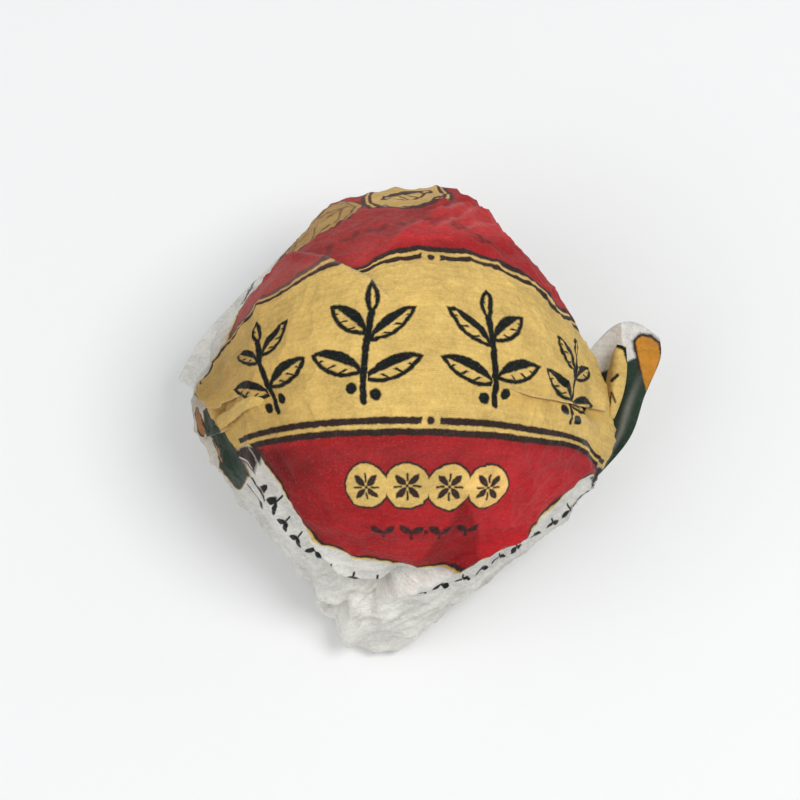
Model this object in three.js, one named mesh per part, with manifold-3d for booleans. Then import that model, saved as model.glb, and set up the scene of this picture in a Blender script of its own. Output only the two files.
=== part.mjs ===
// A pearl of pressed pu-erh tea shut in a square of printed cotton paper.
// The paper is drawn tight over the ball, stands off it in tents where its edges are pulled out,
// and is gathered in turning pleats underneath. Two loose folds stand out at the sides, a curled
// ear on the right and a flat flap on the left, and the gathered end lies in front as a tail.
// Millimetres, +Z up. The part rests at z = 0 with the origin in the middle of its outline.
import * as THREE from "three";
import { mergeVertices } from "three/addons/utils/BufferGeometryUtils.js";
import Module from "manifold-3d";

const wasm = await Module();
wasm.setup();

// The ball with its paper, and where its middle stands
const pearl = {
  radius: 12.5,
  centre: new THREE.Vector3(-0.89, -0.29, 12.7),
  detail: 17,
};

// Where the paper is pulled off the ball: bearing and pitch in degrees from the ball's middle,
// bearing 0 to the right and 90 to the back, and the reach of each corner in millimetres
const corners = {
  shoulder: { bearing: 128, pitch: 2, reach: 13.5 },
  crownLeft: { bearing: 110, pitch: 2, reach: 14.8 },
  crownMiddle: { bearing: 93, pitch: 1, reach: 15.4 },
  crown: { bearing: 77, pitch: 0, reach: 16.3 },
  backRight: { bearing: 67, pitch: 12, reach: 14 },
  rightUpper: { bearing: 11, pitch: -1, reach: 13.6 },
  rightMiddle: { bearing: -1, pitch: -6, reach: 14.5 },
  rightLower: { bearing: -13, pitch: -13, reach: 15.4 },
  rightFront: { bearing: -34, pitch: -23, reach: 14.5 },
  tailRight: { bearing: -91, pitch: -38, reach: 18.9 },
  tailLeft: { bearing: -99, pitch: -37, reach: 19.5 },
  frontLeft: { bearing: -107, pitch: -37, reach: 18.8 },
  frontWaist: { bearing: -114, pitch: -36, reach: 16.6 },
  leftFront: { bearing: -127, pitch: -34, reach: 15.1 },
  leftLower: { bearing: -168, pitch: -24, reach: 15.2 },
  leftUpper: { bearing: 175, pitch: -18, reach: 16.0 },
};
// Each corner in the list is joined to the next by a taut edge of paper
const stepsAlongEdge = 6;

// Sharp folds in the drawn paper, from one bearing and pitch to another. A fold stands up or,
// with a height below zero, sinks in, over one width on its left side and another on its right
const folds = [
  { name: "overlap low", from: [129, 12], to: [126, 36], height: 0.45, widths: [1.1, 5] },
  { name: "overlap middle", from: [126, 36], to: [123, 57], height: 0.45, widths: [1.1, 5] },
  { name: "overlap high", from: [123, 57], to: [116, 76], height: 0.3, widths: [1.1, 4] },
  { name: "crown fold", from: [71, 19], to: [107, 62], height: 0.35, widths: [1.3, 2.5] },
  { name: "band valley", from: [-4, 2], to: [-24, 54], height: -0.4, widths: [0.9, 1.6] },
  { name: "low valley", from: [-123, 7], to: [-110, -19], height: -0.6, widths: [1.2, 1.4] },
  { name: "low fold", from: [-40, -13], to: [-82, -20], height: 0.35, widths: [1.2, 1.2] },
];

// The pocket where the paper is pinched in at the left end of the band
const pinch = { bearing: -171, pitch: 18, reach: 12.6, size: [0.9, 0.45, 1.6], turn: 12 };

// The gathered pleats under the ball
const pleats = {
  count: 11,
  height: 0.9,
  startAngle: 64, // degrees up from the bottom, where they begin
  fullAngle: 30, // where they reach their full height
  turns: 0.16, // how far they wind round on their way to the middle
  footAngle: 24, // where they start to bunch up into the foot that the pearl rests on
  footHeight: 1.1,
};

// Loose folds of several layers of paper, each thin and of one thickness
const stackThickness = 0.45;
const ear = {
  root: [
    [11.8, -4.1, -5.2],
    [12.6, -1.2, -3.2],
    [12.4, 3.2, -2.0],
  ],
  rim: [
    [13.4, -4.6, -5.8],
    [15.4, -1.9, -4.0],
    [16.7, 0.8, -2.5],
    [17.9, 3.1, -1.8],
    [18.0, 4.7, -1.9],
  ],
  scoop: 1.9, // how far the far end bulges out
  valley: 1.1, // how deep it is cupped
};
const innerLip = { foot: [13.6, -1.3, -1.9], tip: [14.8, 3.6, 0], width: 1.3 };
const sideFlap = {
  root: [
    [-6.5, 9.9, 0.5],
    [-9.3, 6.6, -2.7],
    [-12.2, 2.2, -6.3],
  ],
  rim: [
    [-8.4, 10.2, 1.2],
    [-11.6, 8.4, -2.5],
    [-14.4, 6.1, -5.0],
    [-16.0, 4.2, -7.5],
  ],
};
const knot = { at: [-5.1, -11.2, -10.8], size: [1.2, 1.5, 1.1] };

const degree = Math.PI / 180;

// A unit vector for a bearing and a pitch
function directionOf({ bearing, pitch }) {
  return new THREE.Vector3(
    Math.cos(pitch * degree) * Math.cos(bearing * degree),
    Math.cos(pitch * degree) * Math.sin(bearing * degree),
    Math.sin(pitch * degree),
  );
}

// Points along every taut edge, from the ball's middle
function edgePoints() {
  const ends = Object.values(corners).map((corner) => directionOf(corner).multiplyScalar(corner.reach));
  const points = [ends[0]];
  for (let i = 1; i < ends.length; i++)
    for (let step = 1; step <= stepsAlongEdge; step++)
      points.push(ends[i - 1].clone().lerp(ends[i], step / stepsAlongEdge));
  return points.filter((point) => point.length() > pearl.radius);
}
const tautPoints = edgePoints();

// Paper pulled from the ball to a point is a cone that leaves the ball without a kink
function tentReach(direction, point) {
  const apart = direction.angleTo(point);
  const contact = Math.acos(pearl.radius / point.length());
  return apart < contact ? pearl.radius / Math.cos(contact - apart) : pearl.radius;
}

const foldLines = folds.map(({ from, to, height, widths }) => {
  const start = directionOf({ bearing: from[0], pitch: from[1] });
  const end = directionOf({ bearing: to[0], pitch: to[1] });
  return { line: new THREE.Line3(start, end), left: start.clone().cross(end), height, widths };
});

// A fold is highest on its own line and fades out on each side at its own rate
function foldHeight(direction, { line, left, height, widths }) {
  const nearest = line.closestPointToPoint(direction, true, new THREE.Vector3());
  const apart = pearl.radius * direction.angleTo(nearest);
  const width = direction.dot(left) > 0 ? widths[0] : widths[1];
  return height * Math.exp(-((apart / width) ** 2));
}

// Ridges that wind in to the middle of the underside
function pleatHeight(direction) {
  const fromBottom = 90 + Math.asin(direction.z) / degree;
  const { startAngle, fullAngle, count, turns, height, footAngle, footHeight } = pleats;
  const strength = THREE.MathUtils.smoothstep(startAngle - fromBottom, 0, startAngle - fullAngle);
  const around = Math.atan2(direction.y, direction.x) / (2 * Math.PI);
  const phase = count * (around + turns * (1 - fromBottom / startAngle)) + 0.3 * Math.sin(around * 4 * Math.PI);
  const wave = 1 - Math.abs(2 * (phase - Math.floor(phase)) - 1);
  const bunch = THREE.MathUtils.smoothstep(footAngle - fromBottom, 0, footAngle / 2);
  return height * strength * (wave - 0.35) + footHeight * bunch;
}

function bodyReach(direction) {
  const taut = Math.max(...tautPoints.map((point) => tentReach(direction, point)));
  const folded = foldLines.reduce((sum, fold) => sum + foldHeight(direction, fold), 0);
  return taut + folded + pleatHeight(direction);
}

function bodyGeometry() {
  const geometry = new THREE.IcosahedronGeometry(1, pearl.detail);
  const position = geometry.getAttribute("position");
  const direction = new THREE.Vector3();
  for (let i = 0; i < position.count; i++) {
    direction.fromBufferAttribute(position, i).normalize();
    direction.multiplyScalar(bodyReach(direction));
    position.setXYZ(i, direction.x, direction.y, direction.z);
  }
  return geometry;
}

// The hollow of the pinch, a lens let into the paper
function pinchGeometry() {
  const geometry = new THREE.IcosahedronGeometry(1, 4).scale(...pinch.size);
  geometry.rotateX(pinch.turn * degree).rotateY(-pinch.pitch * degree).rotateZ(pinch.bearing * degree);
  return geometry.translate(...directionOf(pinch).multiplyScalar(pinch.reach).toArray());
}

// A thin closed sheet: point(a, b) gives its face for a and b from 0 to 1
function sheetGeometry(point, rows, columns, thickness) {
  const nudge = 1e-3;
  const front = [];
  const back = [];
  for (let i = 0; i <= rows; i++)
    for (let j = 0; j <= columns; j++) {
      const a = i / rows;
      const b = j / columns;
      const along = point(Math.min(a + nudge, 1), b).sub(point(Math.max(a - nudge, 0), b));
      const across = point(a, Math.min(b + nudge, 1)).sub(point(a, Math.max(b - nudge, 0)));
      const normal = across.cross(along).normalize();
      front.push(point(a, b));
      back.push(point(a, b).addScaledVector(normal, -thickness));
    }
  const width = columns + 1;
  const offset = front.length;
  const index = [];
  const quad = (p, q, r, s) => index.push(p, q, r, p, r, s);
  for (let i = 0; i < rows; i++)
    for (let j = 0; j < columns; j++) {
      const p = i * width + j;
      quad(p, p + 1, p + width + 1, p + width);
      quad(offset + p, offset + p + width, offset + p + width + 1, offset + p + 1);
    }
  const rim = [];
  for (let j = 0; j < columns; j++) rim.push(j);
  for (let i = 0; i < rows; i++) rim.push(i * width + columns);
  for (let j = columns; j > 0; j--) rim.push(rows * width + j);
  for (let i = rows; i > 0; i--) rim.push(i * width);
  rim.forEach((p, n) => {
    const q = rim[(n + 1) % rim.length];
    quad(q, p, offset + p, offset + q);
  });
  const geometry = new THREE.BufferGeometry().setFromPoints([...front, ...back]);
  geometry.setIndex(index);
  return geometry;
}

const curveThrough = (points) =>
  new THREE.CatmullRomCurve3(points.map((p) => new THREE.Vector3(...p)));

// The curled ear: a leaf cupped down its middle, whose far end bulges out like a scoop
function earGeometry() {
  const root = curveThrough(ear.root);
  const rim = curveThrough(ear.rim);
  const outward = new THREE.Vector3(0, 0.94, 0.34);
  const down = new THREE.Vector3(-0.3, 0.34, -0.94).normalize();
  const point = (a, b) => {
    const bulge = Math.sin(Math.PI * b);
    const cup = ear.valley * bulge * Math.sin(Math.PI * Math.min(a + 0.15, 1));
    return root
      .getPoint(a)
      .lerp(rim.getPoint(a), b)
      .addScaledVector(outward, ear.scoop * bulge * a ** 4)
      .addScaledVector(down, cup);
  };
  return sheetGeometry(point, 14, 8, stackThickness);
}

// The small lip of paper that stands in front of the ear
function lipGeometry() {
  const foot = new THREE.Vector3(...innerLip.foot);
  const tip = new THREE.Vector3(...innerLip.tip);
  const sideways = new THREE.Vector3(0.95, -0.1, -0.25).normalize();
  const point = (a, b) => {
    const breadth = innerLip.width * (0.25 + Math.sin(Math.PI * (0.1 + 0.8 * a)));
    return foot.clone().lerp(tip, a).addScaledVector(sideways, breadth * (b - 0.5));
  };
  return sheetGeometry(point, 6, 3, stackThickness);
}

function sideFlapGeometry() {
  const root = curveThrough(sideFlap.root);
  const rim = curveThrough(sideFlap.rim);
  const point = (a, b) => rim.getPoint(a).lerp(root.getPoint(a), b);
  return sheetGeometry(point, 8, 4, stackThickness);
}

function knotGeometry() {
  return new THREE.IcosahedronGeometry(1, 3).scale(...knot.size).translate(...knot.at);
}

// A closed geometry as a solid that can be joined
function solidFrom(geometry) {
  const bare = geometry.clone();
  bare.deleteAttribute("normal");
  bare.deleteAttribute("uv");
  const merged = mergeVertices(bare, 1e-4);
  const solid = new wasm.Manifold(
    new wasm.Mesh({
      numProp: 3,
      vertProperties: merged.getAttribute("position").array,
      triVerts: new Uint32Array(merged.index.array),
    }),
  );
  if (solid.volume() < 0) throw new Error("a piece is inside out");
  return solid;
}

function geometryFrom(solid) {
  const { numProp, vertProperties, triVerts } = solid.getMesh();
  if (numProp !== 3) throw new Error("only positions were expected");
  const geometry = new THREE.BufferGeometry();
  geometry.setAttribute("position", new THREE.BufferAttribute(vertProperties, 3));
  geometry.setIndex(new THREE.BufferAttribute(triVerts, 1));
  geometry.computeVertexNormals();
  return geometry;
}

const pieces = [bodyGeometry(), earGeometry(), lipGeometry(), sideFlapGeometry(), knotGeometry()];
const joined = pieces
  .map(solidFrom)
  .reduce((whole, piece) => whole.add(piece))
  .subtract(solidFrom(pinchGeometry()))
  .trimByPlane([0, 0, 1], -pearl.centre.z);

const printedPaper = new THREE.MeshStandardMaterial({ color: 0xb4373c, roughness: 0.85, metalness: 0 });
const wrappedPearl = new THREE.Mesh(geometryFrom(joined), printedPaper);
wrappedPearl.name = "wrapped_pearl";
wrappedPearl.position.copy(pearl.centre);

const group = new THREE.Group();
group.add(wrappedPearl);
export default group;
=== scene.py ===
import math

import bmesh
import bpy
import numpy as np
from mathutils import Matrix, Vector, noise


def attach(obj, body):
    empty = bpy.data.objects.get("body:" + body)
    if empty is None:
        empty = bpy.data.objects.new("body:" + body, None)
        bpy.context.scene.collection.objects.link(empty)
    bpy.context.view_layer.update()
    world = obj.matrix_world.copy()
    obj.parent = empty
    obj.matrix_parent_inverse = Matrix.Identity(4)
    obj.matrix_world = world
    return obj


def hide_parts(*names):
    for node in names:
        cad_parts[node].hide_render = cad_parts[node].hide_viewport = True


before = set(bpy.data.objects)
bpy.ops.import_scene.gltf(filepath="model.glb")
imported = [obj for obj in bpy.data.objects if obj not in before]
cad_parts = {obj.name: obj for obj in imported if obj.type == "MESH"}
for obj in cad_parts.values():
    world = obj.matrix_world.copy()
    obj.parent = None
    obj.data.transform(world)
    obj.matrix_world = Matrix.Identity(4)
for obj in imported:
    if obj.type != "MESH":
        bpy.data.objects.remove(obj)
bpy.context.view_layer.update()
mm = 0.001

# The pearl: a ball of pressed tea with one sheet of printed paper drawn over it. Lengths are in
# millimetres and points are counted from the ball's middle until a mesh is written.
pearl = {
    "radius": 12.5,
    "centre": (-0.89, -0.29, 12.7),
    "divisions": 7,
    "fineSide": 0.2,  # faces that look up at the camera more than this are divided once more
    "fineTail": 0.9,  # and so are those this near to the tail
    "tail": (-95, -30),  # its bearing and pitch
    "lumpHeights": (0.17, 0.1),
    "lumpSizes": (4.2, 1.9),
}
radius = pearl["radius"]
centre = np.array(pearl["centre"])

# The camera's side, and the picture plane that the loose folds' print is drawn on
view = {
    "elevation": 70,
    "distance": 330,
    "lens": 213.8,
    "offMiddle": 0.347,  # the ball stands this far right of the picture's middle, and above it
}
tilt = math.radians(view["elevation"])
rightWay = np.array([1, 0, 0])
upWay = np.array([0, math.sin(tilt), math.cos(tilt)])
cameraWay = np.array([0, -math.cos(tilt), math.sin(tilt)])

# Where the paper is pulled off the ball: bearing, pitch and reach of each corner
pulls = [
    (136, 3, 13.1),
    (126, 2, 13.4),
    (110, 2, 15.1),
    (93, 1, 15.4),
    (77, 0, 16.3),
    (67, 12, 14.0),
    (11, -1, 13.6),
    (-1, -6, 14.5),
    (-13, -13, 15.4),
    (-34, -23, 14.5),
    (-91, -38, 18.9),
    (-99, -37, 19.0),
    (-107, -37, 18.8),
    (-114, -36, 16.6),
    (-127, -34, 15.1),
    (-168, -24, 15.2),
    (175, -18, 16.0),
]


def towards(bearing, pitch):
    bearing, pitch = math.radians(bearing), math.radians(pitch)
    flat = math.cos(pitch)
    return np.array([flat * math.cos(bearing), flat * math.sin(bearing), math.sin(pitch)])


def unit(vectors):
    return vectors / np.linalg.norm(vectors, axis=-1, keepdims=True)


def smooth(value, low, high):
    step = np.clip((value - low) / (high - low), 0, 1)
    return step * step * (3 - 2 * step)


def tautEdges(steps=24):
    ends = [towards(bearing, pitch) * reach for bearing, pitch, reach in pulls]
    points = [ends[0]]
    for start, end in zip(ends, ends[1:]):
        points += [start + (end - start) * step / steps for step in range(1, steps + 1)]
    points = np.array(points)
    return points[np.linalg.norm(points, axis=1) > radius]


hem = tautEdges()
hemOutward = unit(hem)
hemContact = np.arccos(radius / np.linalg.norm(hem, axis=1))
batch = 20000  # directions worked out at a time
edgeTurn = (0.02, 0.4)  # where the paper turns its face, as shares of the way from hem to ball


# Paper pulled from the ball to a point is a cone that leaves the ball without a kink. Gives the
# reach of the taut paper, and the way it faces: out from where it leaves the ball, but straight
# out along its own edge.
def tautPaper(outward):
    reach = np.empty(len(outward))
    facing = outward.copy()
    for start in range(0, len(outward), batch):
        part = outward[start : start + batch]
        apart = np.arccos(np.clip(part @ hemOutward.T, -1, 1))
        lean = hemContact - apart
        nearest = (np.arange(len(part)), lean.argmax(axis=1))
        reach[start : start + batch] = radius / np.cos(np.maximum(lean[nearest], 0))
        off = lean[nearest] > 0
        if not off.any():
            continue
        towardsHem = hemOutward[nearest[1][off]]
        contact = hemContact[nearest[1][off]]
        gap = apart[nearest][off]
        sideways = unit(part[off] - towardsHem * np.cos(gap)[:, None] + 1e-9)
        leaves = towardsHem * np.cos(contact)[:, None] + sideways * np.sin(contact)[:, None]
        share = smooth(gap / contact, *edgeTurn)[:, None]
        facing[np.nonzero(off)[0] + start] = unit(part[off] + (leaves - part[off]) * share)
    return reach, facing


def tautReach(outward):
    return tautPaper(outward)[0]


# Where a point of the taut paper lies on the flat sheet, from the point on top of the ball
def paperPlace(outward, taut):
    off = np.arccos(np.clip(radius / taut, -1, 1))
    far = radius * (np.arccos(np.clip(outward[:, 2], -1, 1)) + np.tan(off) - off)
    around = np.arctan2(outward[:, 1], outward[:, 0])
    return np.stack([far * np.cos(around), far * np.sin(around)], axis=1)


# The other way round: the direction in which a place on the sheet lies
def outwardAt(places):
    down = np.linspace(0, math.radians(140), 561)  # a quarter of a degree apart
    found = []
    for u, v in places:
        around = math.atan2(v, u)
        flat = np.sin(down)
        line = np.stack([flat * math.cos(around), flat * math.sin(around), np.cos(down)], axis=1)
        off = np.arccos(radius / tautReach(line))
        used = np.maximum.accumulate(radius * (down + np.tan(off) - off))
        angle = np.interp(math.hypot(u, v), used, down)
        flat = math.sin(angle)
        found.append([flat * math.cos(around), flat * math.sin(around), math.cos(angle)])
    return np.array(found)


# A soft line through places on the sheet
def throughPlaces(places, count):
    places = np.array(places, float)
    padded = np.vstack([2 * places[0] - places[1], places, 2 * places[-1] - places[-2]])
    points = []
    for step in np.linspace(0, len(places) - 1, count):
        i = min(int(step), len(places) - 2)
        t = step - i
        a, b, c, d = padded[i : i + 4]
        squared = (2 * a - 5 * b + 4 * c - d) * t**2
        points.append((2 * b + (c - a) * t + squared + (3 * b - a - 3 * c + d) * t**3) / 2)
    return np.array(points)


# Points along a line of places, on the taut paper
def drawnLine(path, count=14):
    outward = outwardAt(throughPlaces(path, count))
    return outward * tautReach(outward)[:, None]


# A crease in the drawn paper, along places on the sheet. It stands up or, with a height below zero,
# sinks in, over one width on its left side and another on its right, and it fades at its start and
# its end over shares of its length. One that stands up has the paper colour mixed in along its
# ridge, up to a given share: partly ink rubbed off, partly a painted highlight.
def creaseAlong(height, widths, path, rubAndHighlight=0.35, fades=(0.2, 0.2)):
    shape = {"height": height, "widths": widths, "path": path, "line": drawnLine(path)}
    return {**shape, "rubAndHighlight": rubAndHighlight, "fades": fades}


creases = {
    "overlap": creaseAlong(0.16, (3.0, 0.3), [
        (-0.6, 2.3), (-1.7, 3.4), (-3.1, 4.6), (-4.5, 5.7), (-5.9, 6.9), (-7.7, 8.3), (-9.5, 9.5),
        (-11.8, 10.9),
    ], rubAndHighlight=0.7),
    "crown fold": creaseAlong(0.5, (3.2, 0.9), [
        (5.4, 16.0), (4.9, 14.3), (3.2, 12.6), (1.8, 11.4), (0.7, 9.4), (-0.4, 8.3), (-1.3, 7.4),
    ], rubAndHighlight=0.1),
    "crown edge": creaseAlong(-0.45, (0.8, 1.0), [(3.8, 21.0), (5.0, 18.2), (6.6, 16.6)]),
    "crown pinch": creaseAlong(0.24, (0.4, 0.4), [(5.2, 14.6), (3.2, 12.6), (1.6, 11.5)]),
    "crown streak": creaseAlong(0.2, (0.4, 0.5), [(6.3, 15.3), (5.2, 13.4), (3.6, 11.0), (2.0, 9.0)]),
    "shoulder fold": creaseAlong(0.16, (0.4, 0.5), [(8.2, 13.5), (6.3, 12.4), (4.4, 10.2)]),
    "band valley": creaseAlong(-0.55, (1.1, 0.5), [
        (21.4, -0.8), (19.7, -1.7), (17.9, -2.1), (15.2, -2.6), (12.8, -2.9), (9.6, -3.2),
        (7.2, -3.2),
    ]),
    "band dimple": creaseAlong(-0.25, (0.5, 0.5), [
        (5.8, -3.9), (7.3, -4.3), (8.4, -4.6), (11.1, -4.5),
    ]),
    "band ridge": creaseAlong(0.25, (0.7, 1.2), [(20.4, -3.0), (16.0, -4.0), (12.0, -4.1)]),
    "corner ridge": creaseAlong(0.2, (0.9, 0.9), [(21.0, -8.7), (18.0, -6.3), (14.5, -4.6)]),
    "low fold": creaseAlong(0.75, (1.5, 0.28), [
        (16.7, -14.4), (11.4, -16.1), (7.8, -17.3), (5.9, -18.9), (3.8, -20.2), (1.7, -21.3),
        (-0.1, -21.9), (-1.9, -23.4), (-3.6, -25.3), (-4.9, -27.0),
    ], rubAndHighlight=0.0),
    "low hollow": creaseAlong(-0.3, (0.8, 0.9), [
        (9.0, -18.4), (6.0, -20.8), (2.6, -23.0), (-3.0, -25.2),
    ]),
    "left valley": creaseAlong(-0.8, (0.9, 0.7), [
        (-12.9, -9), (-11.6, -14.1), (-10.7, -16.5), (-9.1, -19.5), (-7.8, -22), (-4.1, -22.6),
        (-2.3, -21.6),
    ]),
    "left fold": creaseAlong(0.5, (0.6, 0.7), [
        (-9.6, -14.6), (-9.0, -17.4), (-7.4, -19.9), (-4.2, -21.4), (-1.0, -20.7),
    ]),
    "tail pocket": creaseAlong(-0.6, (1.2, 1.2), [(-1.8, -22.0), (-4.0, -23.3), (-5.6, -24.2)]),
    "tail notch": creaseAlong(-1.1, (0.5, 0.5), [
        (-11.5, -27.0), (-9.6, -26.3), (-8.3, -25.4), (-7.3, -24.6), (-6.2, -23.5),
    ], fades=(0.02, 0.4)),
    "tail valley": creaseAlong(-1.35, (0.35, 1.7), [
        (3.4, -19.7), (1.3, -20.8), (-0.6, -21.4), (-2.5, -22.9), (-4.2, -24.8), (-5.4, -26.2),
    ], fades=(0.35, 0.15)),
    "lobe ridge": creaseAlong(0.8, (0.9, 0.7), [(-6.7, -24.6), (-7.3, -26.6), (-7.6, -29.0)]),
    "left lobe ridge": creaseAlong(0.7, (0.8, 0.9), [(-9.6, -21.4), (-10.6, -22.8), (-10.9, -24.6)]),
    "tail pucker": creaseAlong(-0.5, (0.4, 0.4), [(-6.2, -26.4), (-4.6, -26.9), (-3.0, -26.6)]),
    "hang": creaseAlong(-0.22, (1.0, 1.8), [
        (-11.7, -3.4), (-9.5, -3.9), (-7.7, -4.5), (-6.2, -5.0), (-4.6, -5.5),
    ]),
}
overlap = creases["overlap"]
creaseShape = {"power": 1.25, "rubAndHighlightWidth": 0.14}  # how it falls off to its sides


# How far points are from a line of points, on which side, and how far along it
def fromLine(points, outward, line):
    lengths = np.linalg.norm(np.diff(line, axis=0), axis=1)
    best = np.full(len(points), 1e9)
    side = np.ones(len(points))
    along = np.zeros(len(points))
    travelled = 0
    for start, end, length in zip(line, line[1:], lengths):
        edge = (end - start) / length
        offset = points - start
        t = np.clip(offset @ edge, 0, length)
        apart = np.linalg.norm(offset - t[:, None] * edge, axis=1)
        nearer = apart < best
        best = np.where(nearer, apart, best)
        side = np.where(nearer, np.sign(np.einsum("ij,ij->i", np.cross(edge, offset), outward)), side)
        along = np.where(nearer, travelled + t, along)
        travelled += length
    return best, side, along, travelled


def creaseRelief(points, outward, crease):
    line = crease["line"]
    middle = line.mean(axis=0)
    span = np.linalg.norm(line - middle, axis=1).max() + 4 * max(crease["widths"])
    near = np.linalg.norm(points - middle, axis=1) < span
    relief = np.zeros(len(points))
    wornAndHighlight = np.zeros(len(points))
    if not near.any():
        return relief, wornAndHighlight
    apart, side, along, whole = fromLine(points[near], outward[near], line)
    width = np.where(side > 0, crease["widths"][0], crease["widths"][1])
    start, end = crease["fades"]
    fade = smooth(along, 0, whole * start) * smooth(whole - along, 0, whole * end)
    relief[near] = crease["height"] * fade * np.exp(-((apart / width) ** creaseShape["power"]))
    if crease["height"] > 0:
        wornAndHighlight[near] = crease["rubAndHighlight"] * fade * np.exp(-((apart / creaseShape["rubAndHighlightWidth"]) ** 2))
    return relief, wornAndHighlight


# One at a place on the sheet, falling to nothing a little beyond its reach
def spot(place, at, reach):
    return np.exp(-((place - at) ** 2).sum(axis=1) / reach**2)


# Soft swellings and hollows: where on the sheet, how wide and how high
swells = {
    "left shoulder": {"at": (-18.4, 6.6), "reach": 3.0, "height": 1.0},
    "left rim": {"at": (-25.5, -0.8), "reach": 2.6, "height": 0.35},
    "above the knot": {"at": (-12.6, -23.8), "reach": 1.8, "height": -1.1},
    "below the knot": {"at": (-10.4, -27.2), "reach": 1.3, "height": -1.0},
    "tail lobe": {"at": (-7.6, -28.6), "reach": 1.5, "height": 0.6},
}

# The gathered pleats under the ball, which wind in to the foot that it rests on. Angles are
# degrees up from the bottom.
pleats = {
    "count": 11,
    "height": 0.9,
    "wander": 0.3,
    "startAngle": 64,
    "fullAngle": 30,
    "turns": 0.16,
    "footAngle": 24,
    "footHeight": 1.1,
    "fineCount": 37,
    "fineHeight": 0.2,
    "fineWander": 0.8,
    "fineStartAngle": 78,
    "fineFullAngle": 48,
}


# Sharp folds that rise from 0 to 1 and fall back between whole numbers
def folded(phase):
    return 1 - np.abs(2 * (phase - np.floor(phase)) - 1)


def pleatRelief(outward):
    fromBottom = 90 + np.degrees(np.arcsin(np.clip(outward[:, 2], -1, 1)))
    start, foot, fineStart = pleats["startAngle"], pleats["footAngle"], pleats["fineStartAngle"]
    around = np.arctan2(outward[:, 1], outward[:, 0]) / (2 * math.pi)
    wound = around + pleats["turns"] * (1 - fromBottom / start)
    broad = folded(pleats["count"] * wound + pleats["wander"] * np.sin(around * 4 * math.pi))
    fine = folded(pleats["fineCount"] * wound + pleats["fineWander"] * np.sin(around * 10 * math.pi))
    broadShare = smooth(start - fromBottom, 0, start - pleats["fullAngle"])
    fineShare = smooth(fineStart - fromBottom, 0, fineStart - pleats["fineFullAngle"])
    bunch = smooth(foot - fromBottom, 0, foot / 2)
    return (
        pleats["height"] * broadShare * (broad - 0.35)
        + pleats["fineHeight"] * fineShare * (fine - 0.5)
        + pleats["footHeight"] * bunch
    )


# A bunch of fine wrinkles that run the same way along places on the sheet
def gatherAlong(spread, pitch, height, path):
    return {"spread": spread, "pitch": pitch, "height": height, "line": drawnLine(path)}


gathers = {
    "tail": gatherAlong(3.6, 0.75, 0.24, [(18.6, -18.4), (9.0, -24.8), (-2.0, -29.5)]),
    "tail top": gatherAlong(2.4, 0.6, 0.18, [(10.0, -20.5), (3.0, -24.6), (-4.0, -27.6)]),
    "tail fine": gatherAlong(4.5, 0.36, 0.15, [(17.0, -19.0), (8.0, -23.6), (-5.0, -28.4)]),
    "crown": gatherAlong(2.8, 0.9, 0.28, [(0.5, 11.5), (4.5, 14.5), (7.5, 16.6)]),
    "corner": gatherAlong(1.9, 0.5, 0.08, [(20.8, -8.2), (17.0, -5.6), (13.5, -4.6)]),
    "left end": gatherAlong(1.6, 0.7, 0.1, [(-22.5, 0.6), (-18.0, -1.4), (-14.0, -2.2)]),
    "left rim": gatherAlong(2.2, 0.9, 0.12, [(-17.0, -10.5), (-13.5, -16.5), (-9.5, -22.0)]),
    "red left": gatherAlong(2.8, 1.2, 0.14, [(-11.5, -7.5), (-9.0, -12.5), (-7.5, -17.5)]),
}

# Each wrinkle's length in pitches and its depth, how many spreads a bunch reaches to its sides,
# and over which stretch its ends fade
wrinkle = {"length": 7, "depth": 2.2, "reach": 2.5, "ends": (-0.5, 1.5), "seedStep": 1.7}


def noiseAt(points):
    return np.array([noise.noise(point) for point in points.tolist()])


def lumps(points, size, seed):
    return noiseAt(points / size + seed)


def gatherRelief(points, outward, gather, seed):
    apart, side, along, whole = fromLine(points, outward, gather["line"])
    near = apart < wrinkle["reach"] * gather["spread"]
    relief = np.zeros(len(points))
    across = (apart * side)[near] / gather["pitch"]
    lengthwise = along[near] / (gather["pitch"] * wrinkle["length"])
    rows = np.stack([across, lengthwise, np.full(near.sum(), wrinkle["seedStep"] * seed)], axis=1)
    wave = 1 - wrinkle["depth"] * np.abs(noiseAt(rows))
    fade = np.exp(-((apart[near] / gather["spread"]) ** 2))
    fade *= smooth(along[near], *wrinkle["ends"]) * smooth(whole - along[near], *wrinkle["ends"])
    relief[near] = gather["height"] * fade * (wave - 0.5)
    return relief


# Crumples, deepest where the paper is loose and shallow where it is taut
crumples = {
    "layers": [
        {"size": 2.6, "height": 0.22, "looseHeight": 0.48},
        {"size": 1.15, "height": 0.11, "looseHeight": 0.2},
    ],
    "loosePlaces": [((6.0, 16.5), 4.0), ((-20.0, -6.5), 2.2), ((21.0, -9.0), 2.5)],
    "looseFrom": (20, 26),
    "looseShare": 0.3,
    "tautPlaces": [((-4.0, -27.0), 5.5), ((7.0, -25.0), 6.0), ((-16.5, -13.0), 5.5)],
    "calm": 0.6,
    "leastLeft": 0.25,
    "seed": 7.3,
}


def crumpleRelief(points, place):
    loose = np.zeros(len(points))
    for at, reach in crumples["loosePlaces"]:
        loose += spot(place, at, reach)
    calm = np.ones(len(points))
    for at, reach in crumples["tautPlaces"]:
        calm -= crumples["calm"] * spot(place, at, reach)
    beyond = smooth(np.linalg.norm(place, axis=1), *crumples["looseFrom"])
    loose = np.clip(loose + crumples["looseShare"] * beyond, 0, 1)
    relief = np.zeros(len(points))
    for layer in crumples["layers"]:
        spread = (points / layer["size"] + crumples["seed"]).tolist()
        near, far = np.array([noise.voronoi(point)[0][:2] for point in spread]).T
        ridge = 0.7 * np.exp(-5 * (far - near)) + 0.8 * near**2
        relief += (ridge - 0.4) * (layer["height"] + (layer["looseHeight"] - layer["height"]) * loose)
    return relief * np.maximum(calm, crumples["leastLeft"])
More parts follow.
